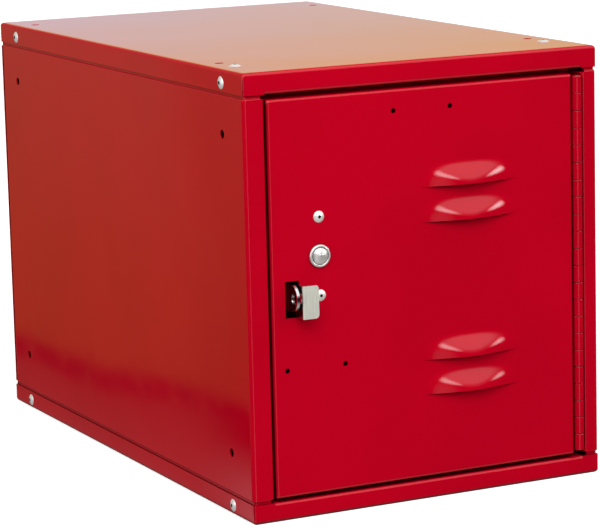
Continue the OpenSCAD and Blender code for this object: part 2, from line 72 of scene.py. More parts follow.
DRILL = 6 * MM  # long enough to go through a sheet and the flange behind it
SOLID_REACH = 16 * MM  # longer than any rivet, and less than the space between two
ARC_STEPS = 6

LEFT, FRONT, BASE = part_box("bottom_pan")[0]
RIGHT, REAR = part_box("bottom_pan")[1].xy
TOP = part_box("top_pan")[1].z
BOTTOM_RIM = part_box("bottom_pan")[1].z - LIP_HEIGHT
TOP_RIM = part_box("top_pan")[0].z + LIP_HEIGHT
PANEL_LOW = BOTTOM_RIM + SEAM
PANEL_HIGH = TOP_RIM - SEAM
LEFT_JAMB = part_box("left_side_panel")[1].x - STOP_WIDTH
RIGHT_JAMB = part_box("hinge_frame_leaf")[1].x + RUNNING_GAP
PANEL_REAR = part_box("left_side_panel")[1].y
STOP_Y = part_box("door_bumpers")[1].y
DOOR_LOW, DOOR_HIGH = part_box("door_panel")
HINGE = Vector(frame["joints"][0]["pos_m"])
MIDDLE = Vector((0, 0, (BASE + TOP) / 2))
MOUNTS = {mount["name"]: mount for mount in frame["record"]["mounts"]}


def hole_pattern(name):
    """The centres and the radius of a mount's holes."""
    mount = MOUNTS[name]
    spots = [Vector(mount["pos_m"])]
    across = [i for i in range(3) if abs(mount["axis"][i]) < 0.5]
    for axis, key in zip(across, ("spacing_x_mm", "spacing_y_mm")):
        if key in mount["dims"]:
            step = Vector((0, 0, 0))
            step[axis] = mount["dims"][key] / 2 * MM
            spots = [spot + sign * step for spot in spots for sign in (-1, 1)]
    return spots, mount["dims"]["hole_r_mm"] * MM


def solids(node):
    """The boxes of a CAD node's separate solids, each no longer than SOLID_REACH."""
    groups = []
    for vertex in frame["nodes"][node].data.vertices:
        near = [group for group in groups if (group[0] - vertex.co).length < SOLID_REACH]
        if near:
            near[0].append(vertex.co)
        else:
            groups.append([vertex.co])

    def corner(group, end):
        return Vector([end(distances) for distances in zip(*group)])

    return [(corner(group, min), corner(group, max)) for group in groups]


# -------- mesh helpers

MERGE = 0.001 * MM  # vertices closer than this are joined at the end
WELD = 0.0001 * MM  # and vertices closer than this before a bevel
SAME_PLACE = 0.05 * MM  # lines of a grid closer than this are one
SHARP = math.radians(38)  # edges sharper than this don't look smooth
BEVELLED = math.radians(40)  # edges sharper than this are rounded by bevel()


def add_object(name, data):
    """Puts a mesh, a light or a camera in the scene."""
    obj = bpy.data.objects.new(name, data)
    bpy.context.scene.collection.objects.link(obj)
    return obj


def mesh_object(bm, name):
    """Turns a bmesh into an object of the scene, and frees it."""
    mesh = bpy.data.meshes.new(name)
    bm.to_mesh(mesh)
    bm.free()
    return add_object(name, mesh)


def modify(obj, kind, **settings):
    """Changes obj's mesh by one modifier."""
    modifier = obj.modifiers.new(kind.lower(), kind)
    for key, value in settings.items():
        setattr(modifier, key, value)
    bpy.context.view_layer.update()
    evaluated = obj.evaluated_get(bpy.context.evaluated_depsgraph_get())
    old, obj.data = obj.data, bpy.data.meshes.new_from_object(evaluated)
    obj.modifiers.clear()
    bpy.data.meshes.remove(old)


def sheet_object(bm, name, thickness, outward, near):
    """Turns a surface into sheet that lies behind it. Its face nearest to a point looks
    outward."""
    near = Vector(near)
    bmesh.ops.recalc_face_normals(bm, faces=bm.faces)
    bm.normal_update()
    face = min(bm.faces, key=lambda f: (f.calc_center_median() - near).length)
    if face.normal.dot(Vector(outward)) < 0:
        bmesh.ops.reverse_faces(bm, faces=bm.faces)
    obj = mesh_object(bm, name)
    modify(obj, "SOLIDIFY", thickness=thickness, offset=-1, use_even_offset=True)
    return obj


def bevel(obj, width, segments=2):
    """Rounds the sharp edges."""
    modify(obj, "BEVEL", width=width, segments=segments, limit_method="ANGLE", angle_limit=BEVELLED)


def cut(obj, cutters):
    """Cuts the closed meshes of one bmesh out of obj."""
    cutter = mesh_object(cutters, "cutter")
    modify(obj, "BOOLEAN", operation="DIFFERENCE", solver="EXACT", object=cutter)
    bpy.data.objects.remove(cutter)


def finish_piece(obj, materials, body, node):
    """Shades obj smooth up to an angle, paints it, and puts it on its body for a node."""
    bm = bmesh.new()
    bm.from_mesh(obj.data)
    bmesh.ops.remove_doubles(bm, verts=bm.verts, dist=MERGE)
    bmesh.ops.dissolve_degenerate(bm, dist=MERGE, edges=bm.edges)
    loose = [vertex for vertex in bm.verts if not vertex.link_faces]
    bmesh.ops.delete(bm, geom=loose, context="VERTS")
    bmesh.ops.recalc_face_normals(bm, faces=bm.faces)
    for face in bm.faces:
        face.smooth = True
    for edge in bm.edges:
        shared = len(edge.link_faces) == 2
        edge.smooth = shared and edge.calc_face_angle(0) < SHARP
    bm.to_mesh(obj.data)
    bm.free()
    for material in materials:
        obj.data.materials.append(material)
    normals = obj.modifiers.new("weighted normals", "WEIGHTED_NORMAL")
    normals.keep_sharp = True
    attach(obj, body)
    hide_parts(node)


def lathe(bm, profile, place, steps=48, material=0):
    """Turns a profile of (radius, height) about the Z axis, and moves it to its place.
    material is a number, or a function of the profile's index."""
    rings = []
    for radius, height in profile:
        if radius == 0:
            rings.append([bm.verts.new(place @ Vector((0, 0, height)))])
            continue
        ring = []
        for i in range(steps):
            angle = 2 * math.pi * i / steps
            spot = Vector((radius * math.cos(angle), radius * math.sin(angle), height))
            ring.append(bm.verts.new(place @ spot))
        rings.append(ring)
    for k, (first, second) in enumerate(zip(rings, rings[1:])):
        for i in range(steps):
            j = (i + 1) % steps
            corners = [first[i % len(first)], first[j % len(first)]]
            corners += [second[j % len(second)], second[i % len(second)]]
            corners = list(dict.fromkeys(corners))
            if len(corners) > 2:
                face = bm.faces.new(corners)
                face.material_index = material(k) if callable(material) else material


def add_box(bm, low, high):
    size = Vector(high) - Vector(low)
    centre = (Vector(high) + Vector(low)) / 2
    bmesh.ops.create_cube(bm, matrix=Matrix.Translation(centre) @ Matrix.Diagonal((*size, 1)))


def facing(axis, spot):
    """The place of something modelled on the Z axis that is to point along axis."""
    turn = Vector((0, 0, 1)).rotation_difference(Vector(axis)).to_matrix().to_4x4()
    return Matrix.Translation(spot) @ turn


def add_drill(bm, spot, axis, radius, length=DRILL):
    """A closed cylinder with its middle at spot, to be cut out of a sheet."""
    half = length / 2
    profile = [(0, -half), (radius, -half), (radius, half), (0, half)]
    lathe(bm, profile, facing(axis, spot), steps=64)


def drill_pattern(bm, name, axis, keep=lambda spot: True):
    """The drills for those of a mount's holes that keep() says yes to."""
    spots, radius = hole_pattern(name)
    for spot in filter(keep, spots):
        add_drill(bm, spot, axis, radius)


def unit(degrees):
    """The direction that is so many degrees round from the first axis."""
    return Vector((math.cos(math.radians(degrees)), math.sin(math.radians(degrees))))


def arc(centre, radius, start, end, steps=ARC_STEPS):
    """Points on an arc between two directions in degrees, with both of its ends."""
    turns = spaced(start, end, steps)
    return [tuple(Vector(centre) + radius * unit(turn)) for turn in turns]


def spaced(low, high, count):
    """The ends of count equal steps from low to high."""
    return [low + (high - low) * i / count for i in range(count + 1)]


def grid_lines(low, high, near_edge, *inner):
    """Sorted lines of a grid, with one close to each end and no two in one place."""
    lines = sorted([low, low + near_edge, high - near_edge, high, *inner])
    kept = lines[:1]
    for line in lines[1:]:
        if line - kept[-1] > SAME_PLACE:
            kept.append(line)
    return kept


# -------- folded trays


class Tray:
    """A sheet with all four of its edges folded back: a pan, or the door.

    The face is a grid of columns u and rows v. place(u, v, depth) puts a point that lies
    behind the face in the row frame. raised(u, v) is how far the sheet stands out, and
    slit(v) says whether the sheet is slit along that row, below what stands out.
    """

    CORNER_STEPS = 4

    def __init__(
        self, columns, rows, place, fold, corner,
        raised=lambda u, v: 0.0, slit=lambda v: False,
    ):
        self.bm = bmesh.new()
        self.columns = columns
        self.rows = rows
        self.place = place
        self.fold = fold
        self.corner = corner
        self.raised = raised
        self.slit = slit
        self.points = {}
        self.fill_face()
        self.edge = self.walk_edge()

    def point(self, i, j, above=True):
        """A vertex of the grid. A slit has one vertex above it and one below it."""
        height = self.raised(self.columns[i], self.rows[j])
        if self.slit(self.rows[j]) and not above:
            height = 0.0
        key = (i, j, round(height / MM, 4))
        if key not in self.points:
            spot = self.place(self.columns[i], self.rows[j], -height)
            self.points[key] = self.bm.verts.new(spot)
        return self.points[key]

    def fill_face(self):
        for i in range(len(self.columns) - 1):
            for j in range(len(self.rows) - 1):
                low = [self.point(i, j), self.point(i + 1, j)]
                high = [self.point(i + 1, j + 1, False), self.point(i, j + 1, False)]
                self.bm.faces.new(low + high)

    def walk_edge(self):
        """Each step on the way round is (column, row, mitre, outward direction)."""
        last_i = len(self.columns) - 1
        last_j = len(self.rows) - 1
        sides = [
            [(i, 0) for i in range(last_i + 1)],
            [(last_i, j) for j in range(last_j + 1)],
            [(last_i - i, last_j) for i in range(last_i + 1)],
            [(0, last_j - j) for j in range(last_j + 1)],
        ]
        steps = []
        for number, side in enumerate(sides):
            out = 90.0 * number - 90.0
            before = unit(out) + unit(out - 90.0)
            after = unit(out) + unit(out + 90.0)
            steps.append((*side[0], before, out))
            steps += [(i, j, None, out) for i, j in side[1:-1]]
            for k in range(self.CORNER_STEPS):
                steps.append((*side[-1], after, out + 90.0 * k / self.CORNER_STEPS))
        return steps

    def ring(self, out, depth):
        """The vertices all the way round, outside the face and behind it."""
        ring = []
        for i, j, mitre, direction in self.edge:
            if out == 0:
                ring.append(self.point(i, j))
                continue
            spot = Vector((self.columns[i], self.rows[j]))
            if mitre is None:
                spot += out * unit(direction)
            else:
                radius = min(self.corner, out)
                spot += (out - radius) * mitre + radius * unit(direction)
            ring.append(self.bm.verts.new(self.place(*spot, depth)))
        return ring

    def fold_back(self, depth, hem=(), hemmed=lambda u, v, direction: 0):
        """Folds the edges back, and some of them in again along hem, a path of (distance
        outside the face, depth). hemmed() is how many steps of it a stretch has."""
        rings = [self.ring(0, 0)]
        for out, behind in arc((0, self.fold), self.fold, -90, 0)[1:]:
            rings.append(self.ring(out, behind))
        rings.append(self.ring(self.fold, depth - self.fold))
        rim = self.ring(self.fold, depth)
        made = {}

        def hem_vertex(k, step):
            if step == 0:
                return rings[-1][k]
            if (k, step) not in made:
                i, j, _, direction = self.edge[k]
                out, behind = hem[step - 1]
                spot = Vector((self.columns[i], self.rows[j])) + out * unit(direction)
                made[k, step] = self.bm.verts.new(self.place(*spot, behind))
            return made[k, step]

        def quad(*corners):
            corners = list(dict.fromkeys(corners))
            if len(corners) > 2:
                self.bm.faces.new(corners)

        for k, (i, j, mitre, direction) in enumerate(self.edge):
            n = (k + 1) % len(self.edge)
            for first, second in zip(rings, rings[1:]):
                quad(first[k], first[n], second[n], second[k])
            steps = 0
            if mitre is None and self.edge[n][2] is None:
                u = (self.columns[i] + self.columns[self.edge[n][0]]) / 2
                v = (self.rows[j] + self.rows[self.edge[n][1]]) / 2
                steps = hemmed(u, v, direction)
            if steps == 0:
                quad(rings[-1][k], rings[-1][n], rim[n], rim[k])
            for step in range(steps):
                near = (hem_vertex(k, step), hem_vertex(n, step))
                quad(*near, hem_vertex(n, step + 1), hem_vertex(k, step + 1))

    def build(self, name, thickness, outward, near):
        stray = [vertex for vertex in self.bm.verts if not vertex.link_faces]
        bmesh.ops.delete(self.bm, geom=stray, context="VERTS")
        return sheet_object(self.bm, name, thickness, outward, near)


# -------- cabinet


def build_pan(name, face_z, up, rim_z, holes):
    """The top or bottom pan. up is the side of the cabinet that its face looks to."""
    depth = abs(face_z - rim_z)
    open_left = LEFT_JAMB + PAN_GAP
    open_right = RIGHT_JAMB - PAN_GAP
    lip_left = open_left + STOP_WIDTH
    columns = grid_lines(
        LEFT + FOLD, RIGHT - FOLD, 3 * MM, open_left, lip_left, open_right,
        *spaced(LEFT + FOLD, RIGHT - FOLD, 12),
    )
    rows = grid_lines(FRONT + FOLD, REAR - FOLD, 3 * MM, *spaced(FRONT + FOLD, REAR - FOLD, 16))
    tray = Tray(columns, rows, lambda u, v, d: (u, v, face_z - up * d), FOLD, CORNER)
    rim = arc((0, depth - FOLD), FOLD, 0, 90)
    lip_out = FOLD - (STOP_Y + SHEET - FRONT)
    lip = arc((lip_out + SHEET, depth + SHEET), SHEET, -90, -180)
    hem = rim + lip + [(lip_out, depth + LIP_HEIGHT)]

    def hemmed(u, v, direction):
        if direction != -90 or not open_left < u < open_right:
            return 0
        return len(rim) + 1 if u < lip_left else len(hem)

    tray.fold_back(depth, hem, hemmed)
    obj = tray.build(name, SHEET, (0, 0, up), (0, 0, face_z))
    cutters = bmesh.new()
    drill_pattern(cutters, holes, (0, 0, 1))
    for x in (LEFT, RIGHT):
        for y in (FRONT, REAR):
            add_seam(cutters, Vector((x, y, rim_z)), 2 * (depth - 1.6 * FOLD))
    cut(obj, cutters)
    return obj


def add_seam(bm, corner, length):
    """A thin upright cut, across the corner where two flanges of a pan meet."""
    across = (DRILL, CORNER_SEAM) if corner.x * corner.y > 0 else (CORNER_SEAM, DRILL)
    turn = Matrix.Rotation(math.radians(45), 4, "Z")
    size = Matrix.Diagonal((*across, length, 1))
    bmesh.ops.create_cube(bm, matrix=Matrix.Translation(corner) @ turn @ size)


def tuck_profile(web):
    """How the edge of a side panel steps in, runs on and folds in, as (inward, along)."""
    step = [(TUCK * (3 - 2 * t) * t * t, TUCK_RISE * t) for t in spaced(0, 1, 8)[1:]]
    corner = arc((TUCK + FOLD, web - FOLD), FOLD, 180, 90)
    return step, corner + [(SIDE_FLANGE, web)]


def side_plan(side):
    """The plan of a side panel from its return at the back to its free edge beside the
    door, as (distance in from the wall, y, outward direction, part). part is what the
    sheet belongs to from there to the next point."""
    stile = abs(side * RIGHT - (LEFT_JAMB if side < 0 else RIGHT_JAMB))
    path = [(REAR_RETURN, PANEL_REAR, 90, "return")]

    def fold(centre, start, end, part):
        turns = spaced(start, end, ARC_STEPS)
        for (d, y), turn in zip(arc(centre, FOLD, start, end), turns):
            path.append((d, y, turn, part))

    fold((FOLD, PANEL_REAR - FOLD), 90, 180, "return")
    path[-1] = (*path[-1][:3], "side")
    for y in spaced(PANEL_REAR - 1.5 * FOLD, FRONT + 1.5 * FOLD, 24):
        path.append((0, y, 180, "side"))
    path[-1] = (*path[-1][:3], "stile")
    fold((FOLD, FRONT + FOLD), 180, 270, "stile")
    fold((stile - FOLD, FRONT + FOLD), 270, 360, "jamb")
    if side < 0:
        edge = arc((stile + SHEET, STOP_Y - SHEET), SHEET, 180, 90)
        edge.append((stile + STOP_WIDTH, STOP_Y))
    else:
        inside = STOP_Y + SHEET
        edge = arc((stile - FOLD, inside - FOLD), FOLD, 0, 90)
        edge.append((stile - FOLD - JAMB_RETURN, inside))
    return path + [(d, y, 0, "jamb") for d, y in edge]


def side_stations():
    """The levels of a side panel from the bottom up, as (distance in, z, the parts of the
    plan that reach them)."""
    outer = ("side", "stile")
    ends = []
    for level, up, height in ((PANEL_LOW, -1, PANEL_LOW - BASE), (PANEL_HIGH, 1, TOP - PANEL_HIGH)):
        step, edge = tuck_profile(height - TUCK)
        end = [(d, level + up * z, outer) for d, z in step + edge[:1]]
        ends.append(end + [(d, level + up * z, ("side",)) for d, z in edge[1:]])
    middle = [(0, z, ("return", *outer, "jamb")) for z in spaced(PANEL_LOW, PANEL_HIGH, 12)]
    return ends[0][::-1] + middle + ends[1]


def build_side_panel(name, side):
    """side is -1 for the left panel, with a wide stile and a door stop, or 1."""
    wall = side * RIGHT
    path = side_plan(side)
    stations = side_stations()
    bm = bmesh.new()
    made = {}

    def vertex(k, s):
        if (k, s) not in made:
            d, y, turn, _ = path[k]
            shift, z, _ = stations[s]
            d -= shift * unit(turn).x
            y -= shift * unit(turn).y
            made[k, s] = bm.verts.new((wall - side * d, y, z))
        return made[k, s]

    for k in range(len(path) - 1):
        part = path[k][3]
        for s in range(len(stations) - 1):
            if part in stations[s][2] and part in stations[s + 1][2]:
                corners = ((k, s), (k + 1, s), (k + 1, s + 1), (k, s + 1))
                bm.faces.new([vertex(*corner) for corner in corners])
    obj = sheet_object(bm, name, SHEET, (side, 0, 0), (wall, 0, MIDDLE.z))
    cutters = bmesh.new()
    drill_pattern(cutters, "left_side_holes" if side < 0 else "right_side_holes", (1, 0, 0))
    for pattern in ("top_holes", "bottom_holes"):
        drill_pattern(cutters, pattern, (0, 0, 1), lambda spot: spot.x * side > 0)
    cut(obj, cutters)
    return obj


def build_back_panel():
    """A flat sheet whose top and bottom edges are narrower, to go inside the pans."""
    low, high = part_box("back_panel")
    bm = bmesh.new()
    edge = [
        (TUCK, low.z), (TUCK, PANEL_LOW), (0, PANEL_LOW),
        (0, PANEL_HIGH), (TUCK, PANEL_HIGH), (TUCK, high.z),
    ]
    outline = [(high.x - inset, z) for inset, z in edge]
    outline += [(low.x + inset, z) for inset, z in reversed(edge)]
    bm.faces.new([bm.verts.new((x, high.y, z)) for x, z in outline])
    obj = sheet_object(bm, "back_sheet", high.y - low.y, (0, 1, 0), (0, high.y, 0))
    bevel(obj, CUT_EDGE)
    return obj


# -------- door

LOUVRE_HALF_WIDTH = 35 * MM
LOUVRE_HEIGHT = 15 * MM
LOUVRE_PITCH = 25.4 * MM
LOUVRE_X = 34.5 * MM
LOUVRE_PROUD = FRONT - DOOR_LOW.y
LOUVRE_ROUND = 0.45  # how much of its height is rounded, at the lip
LOUVRE_SQUARE = 2.9  # 2 would be an oval outline, and more is squarer
LOUVRE_SOFT = 0.2  # how much of its height it takes to rise out of the sheet
LOUVRE_TOP = DOOR_HIGH.z - 71.8 * MM  # the lip of the highest louvre
LOUVRE_LOW = DOOR_LOW.z + 86 * MM  # the upper lip of the low pair
LOUVRES = [lip - i * LOUVRE_PITCH for lip in (LOUVRE_TOP, LOUVRE_LOW) for i in (0, 1)]
EDGE_STRIP = 1.5 * MM  # the grid's first and last strip, beside the folds
FINE_HALF_WIDTH = 40 * MM  # of the fine part of the grid, for the louvres
FINE_HEIGHT = 18.4 * MM  # of its rows above each lip
FINE_MARGIN = 5 * MM
ROW_MARGIN = 2 * MM


def soft_step(height):
    """A height that runs out smoothly into the sheet instead of meeting it at an angle."""
    return (height + math.hypot(height, LOUVRE_SOFT)) / 2 - LOUVRE_SOFT / 6


def louvre_height(x, z):
    """How far the door's sheet stands out at a point: half an oval dome above each lip."""
    for lip in LOUVRES:
        if -SAME_PLACE < z - lip < LOUVRE_PITCH - SAME_PLACE:
            across = abs(x - LOUVRE_X) / LOUVRE_HALF_WIDTH
            up = max(z - lip, 0) / LOUVRE_HEIGHT
            distance = (across**LOUVRE_SQUARE + up**LOUVRE_SQUARE) ** (1 / LOUVRE_SQUARE)
            edge = math.hypot(1, LOUVRE_ROUND)
            dome = (edge - math.hypot(distance, LOUVRE_ROUND)) / (edge - LOUVRE_ROUND)
            return LOUVRE_PROUD * max(soft_step(dome) / soft_step(1), 0)
    return 0.0


def door_grid():
    """The columns and rows of the door's face, close together at the louvres."""
    left, right = DOOR_LOW.x + DOOR_FOLD, DOOR_HIGH.x - DOOR_FOLD
    low, high = DOOR_LOW.z + DOOR_FOLD, DOOR_HIGH.z - DOOR_FOLD
    fine_left, fine_right = LOUVRE_X - FINE_HALF_WIDTH, LOUVRE_X + FINE_HALF_WIDTH
    columns = grid_lines(
        left, right, EDGE_STRIP,
        *spaced(fine_left, fine_right, 80),
        *spaced(left, fine_left - FINE_MARGIN, 8),
        *spaced(fine_right + FINE_MARGIN, right, 4),
    )
    fine = [z for lip in LOUVRES for z in spaced(lip, lip + FINE_HEIGHT, 23)]
    coarse = [z for z in spaced(low, high, 30) if all(abs(z - row) > ROW_MARGIN for row in fine)]
    return columns, grid_lines(low, high, EDGE_STRIP, *fine, *coarse)


def build_door():
    tray = Tray(
        *door_grid(), lambda u, v, d: (u, FRONT + d, v), DOOR_FOLD, DOOR_CORNER,
        raised=louvre_height,
        slit=lambda v: any(abs(v - lip) < SAME_PLACE for lip in LOUVRES),
    )
    depth = DOOR_HIGH.y - FRONT
    hem = arc((0, depth - DOOR_FOLD), DOOR_FOLD, 0, 90)[1:]
    hem.append((DOOR_FOLD - DOOR_RETURN, depth))

    def hemmed(u, v, direction):
        return len(hem) if direction in (0, 180) else 0

    tray.fold_back(depth, hem, hemmed)
    obj = tray.build("door_skin", DOOR_SHEET, (0, -1, 0), (0, FRONT, MIDDLE.z))
    cutters = bmesh.new()
    for pattern in ("number_plate_holes", "card_holder_holes"):
        drill_pattern(cutters, pattern, (0, 1, 0))
    add_drill(cutters, (PLUG.x, FRONT, PLUG.z), (0, 1, 0), LOCK_HOLE_RADIUS)
    slot_low = (SLOT_LEFT, FRONT - DRILL / 2, SLOT_LOW)
    slot_high = (SLOT_RIGHT, FRONT + DRILL / 2, SLOT_HIGH)
    add_box(cutters, slot_low, slot_high)
    cut(obj, cutters)
    return obj


# -------- lock

PLUG_LOW, PLUG_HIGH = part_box("lock_hole_plug")
PLUG = (PLUG_LOW + PLUG_HIGH) / 2
LOCK_HOLE_RADIUS = 6.35 * MM
PADLOCK = Vector(MOUNTS["padlock_hole"]["pos_m"])
PADLOCK_RADIUS = MOUNTS["padlock_hole"]["dims"]["r_mm"] * MM
PADLOCK_DRILL = 12 * MM  # through the staple and the pull's leg
PULL_LOW, PULL_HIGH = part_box("pull_hasp")
PULL_SHEET = 1.5 * MM
PULL_FOLD = 1.7 * MM
GRIP_WIDTH = 12.4 * MM
GRIP_HEIGHT = 23.6 * MM
GRIP_CORNER = 2.5 * MM
STAPLE_LOW, STAPLE_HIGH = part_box("padlock_staple")
STAPLE_SHEET = 2.0 * MM
STAPLE_FOLD = 3.0 * MM
STAPLE_NOSE = 9.7 * MM  # radius of its round front
SLOT_LEFT = STAPLE_HIGH.x - STAPLE_SHEET - 4.3 * MM
SLOT_RIGHT = PULL_LOW.x + PULL_SHEET + 1.1 * MM
SLOT_LOW = PULL_LOW.z - 0.2 * MM
SLOT_HIGH = SLOT_LOW + 26.2 * MM
RIBBON_STRIPS = 6
CATCH_SHEET = 0.5 * MM
CATCH_INSET = 0.7 * MM  # room beside the finger for its bulge
CATCH_FOLD = 1.2 * MM
CATCH_BULGE = 0.7 * MM  # how far the finger bulges towards the staple
CATCH_BULGE_END = 0.75  # how far along the finger, of its length
CATCH_FLARE = 1.0 * MM  # how far its free end turns away again
BARREL_RADIUS = 6.25 * MM
BARREL_WALL = 0.8 * MM
BARREL_LENGTH = 6 * MM
CAP_SHEET = 1 * MM


def ribbon(name, path, thickness, outward):
    """A folded strip of metal. path is a list of (x, y, lowest z, highest z) along its
    outer face, and outward is the direction that its first stretch looks in."""
    bm = bmesh.new()
    rows = []
    for x, y, low, high in path:
        rows.append([bm.verts.new((x, y, z)) for z in spaced(low, high, RIBBON_STRIPS)])
    for first, second in zip(rows, rows[1:]):
        for i in range(RIBBON_STRIPS):
            bm.faces.new((first[i], second[i], second[i + 1], first[i + 1]))
    x, y, low, high = path[0]
    return sheet_object(bm, name, thickness, outward, (x, y, (low + high) / 2))


def pull_path():
    """The finger plate, the leg that passes through the slot, and the plate behind, as
    seen from above, from the plate's free edge."""
    grip_right = PULL_LOW.x + GRIP_WIDTH
    grip = (PULL_LOW.z, PULL_LOW.z + GRIP_HEIGHT)
    path = []
    for turn in spaced(0, 90, 8):
        inset = GRIP_CORNER * (1 - unit(turn).y)
        x = grip_right - GRIP_CORNER * (1 - unit(turn).x)
        path.append((x, PULL_LOW.y, grip[0] + inset, grip[1] - inset))
    left = PULL_LOW.x + PULL_FOLD
    front_fold = arc((left, PULL_LOW.y + PULL_FOLD), PULL_FOLD, 270, 180)
    rear_fold = arc((left, PULL_HIGH.y - PULL_FOLD), PULL_FOLD, 180, 90)
    path += [(x, y, *grip) for x, y in front_fold + rear_fold]
    path.append((left + RUNNING_GAP, PULL_HIGH.y, PULL_LOW.z, PULL_HIGH.z))
    path.append((PULL_HIGH.x, PULL_HIGH.y, PULL_LOW.z, PULL_HIGH.z))
    return path


def staple_path():
    """The staple as seen from above, from its base to its round nose."""
    base = (STAPLE_LOW.z, STAPLE_HIGH.z)
    hook = (PADLOCK.z - STAPLE_NOSE, PADLOCK.z + STAPLE_NOSE)
    bend = (STAPLE_HIGH.x - STAPLE_FOLD, STAPLE_HIGH.y - STAPLE_FOLD)
    path = [(STAPLE_LOW.x, STAPLE_HIGH.y, *base), (bend[0] - SHEET, STAPLE_HIGH.y, *base)]
    path += [(x, y, *hook) for x, y in arc(bend, STAPLE_FOLD, 90, 0)]
    for turn in spaced(0, 84, 14):
        y = STAPLE_LOW.y + STAPLE_NOSE * (1 - unit(turn).y)
        reach = STAPLE_NOSE * unit(turn).x
        path.append((STAPLE_HIGH.x, y, PADLOCK.z - reach, PADLOCK.z + reach))
    return path


def build_pull():
    """The face that fingers touch is brushed (material 0), and the rest is bright (1)."""
    obj = ribbon("pull_plate", pull_path(), PULL_SHEET, (0, -1, 0))
    cutters = bmesh.new()
    add_drill(cutters, PADLOCK, (1, 0, 0), PADLOCK_RADIUS, PADLOCK_DRILL)
    add_drill(cutters, (PLUG.x, PULL_HIGH.y, PLUG.z), (0, 1, 0), LOCK_HOLE_RADIUS)
    cut(obj, cutters)
    bevel(obj, 0.3 * MM)
    for face in obj.data.polygons:
        brushed = face.normal.y < -0.5 and face.center.y < PULL_LOW.y + PULL_SHEET
        face.material_index = 0 if brushed else 1
    return obj


def build_staple():
    obj = ribbon("staple_hook", staple_path(), STAPLE_SHEET, (0, 1, 0))
    cutters = bmesh.new()
    add_drill(cutters, PADLOCK, (1, 0, 0), PADLOCK_RADIUS, PADLOCK_DRILL)
    cut(obj, cutters)
    bevel(obj, 0.6 * MM, segments=3)
    return obj


def build_catch():
    """A leaf spring behind the pull plate, with a finger that bears on the staple."""
    low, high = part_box("friction_catch")
    face = low.x + CATCH_INSET + CATCH_SHEET
    path = [(high.x, low.y + CATCH_SHEET, low.z, high.z)]
    bend = (face + CATCH_FOLD, low.y + CATCH_SHEET + CATCH_FOLD)
    path += [(x, y, low.z, high.z) for x, y in arc(bend, CATCH_FOLD, 270, 180)]
    for t in spaced(0.15, 1, 12):
        bulge = CATCH_BULGE * math.sin(math.pi * min(t / CATCH_BULGE_END, 1)) ** 2
        flare = CATCH_FLARE * max(t - CATCH_BULGE_END, 0) / (1 - CATCH_BULGE_END)
        path.append((face - bulge + flare, low.y + (high.y - low.y) * t, low.z, high.z))
    obj = ribbon("catch_spring", path, CATCH_SHEET, (0, -1, 0))
    bevel(obj, 0.1 * MM)
    return obj


def plug_profile():
    """A dome with a ring pressed into it, in a groove inside a rolled rim, and its barrel."""
    rim = (PLUG_HIGH.x - PLUG_LOW.x) / 2
    proud = FRONT - PLUG_LOW.y
    roll = 0.13 * rim
    dome_radius = 0.72 * rim
    dome_height = 0.55 * proud
    groove = (0.735 * rim, 0.22 * proud)
    ring_radius = 0.26 * rim
    ring_width = 0.035 * rim
    ring_depth = 0.09 * MM
    ball = (dome_radius**2 + dome_height**2) / (2 * dome_height)
    profile = []
    for radius in spaced(0, dome_radius, 26):
        height = proud - ball + math.sqrt(ball**2 - radius**2)
        ring = math.exp(-(((radius - ring_radius) / ring_width) ** 2))
        profile.append((radius, height - ring_depth * ring))
    profile.append(groove)
    profile += arc((rim - roll, 0.08 * rim), roll, 180, 0, 10)
    profile += [(rim, 0), (BARREL_RADIUS, 0), (BARREL_RADIUS, -BARREL_LENGTH)]
    bore = BARREL_RADIUS - BARREL_WALL
    return profile + [(bore, -BARREL_LENGTH), (bore, -CAP_SHEET), (0, -CAP_SHEET)]


def build_plug():
    bm = bmesh.new()
    lathe(bm, plug_profile(), facing((0, -1, 0), (PLUG.x, FRONT, PLUG.z)), steps=72)
    return mesh_object(bm, "plug_cap")


# -------- fasteners


def rivet_profile(head, height, shank, grip):
    """A blind rivet from the broken mandrel in its head to its blind end."""
    ball = (head**2 + height**2) / (2 * height)
    bore = 0.5 * shank
    recess = 0.15 * height
    profile = [(0, recess), (bore, recess)]
    for radius in spaced(1.12 * bore, 0.985 * head, 9):
        profile.append((radius, height - ball + math.sqrt(ball**2 - radius**2)))
    profile += [(head, 0.05 * height), (0.99 * head, 0), (shank, 0), (shank, -grip)]
    profile += [(1.25 * shank, -grip - 0.15 * shank), (1.25 * shank, -grip - 0.9 * shank)]
    profile += [(0.9 * shank, -grip - 1.5 * shank), (0, -grip - 1.5 * shank)]
    return profile


def build_rivets(name, node, axis, head, height, shank):
    """One rivet at each solid of a CAD node, with its head towards axis. The mandrel is
    material 1."""
    axis = Vector(axis)
    bm = bmesh.new()
    for low, high in solids(node):
        span = abs((high - low).dot(axis))
        spot = (low + high) / 2 + axis * (span / 2 - height)
        grip = span - height - 1.5 * shank
        profile = rivet_profile(head, height, shank, grip)
        lathe(bm, profile, facing(axis, spot), steps=40, material=lambda k: int(k < 2))
    return mesh_object(bm, name)


def build_bumpers():
    """The rubber buttons that the door closes on, rounded at the front."""
    bm = bmesh.new()
    for low, high in solids("door_bumpers"):
        centre = (low + high) / 2
        radius = (high.x - low.x) / 2
        height = high.y - low.y
        profile = [(0, 0), (radius, 0), (radius, 0.5 * height)]
        profile += arc((radius - 0.5 * height, 0.5 * height), 0.5 * height, 0, 90)[1:]
        profile.append((0, height))
        lathe(bm, profile, facing((0, -1, 0), (centre.x, high.y, centre.z)), steps=32)
    return mesh_object(bm, "rubber_buttons")


# -------- hinge

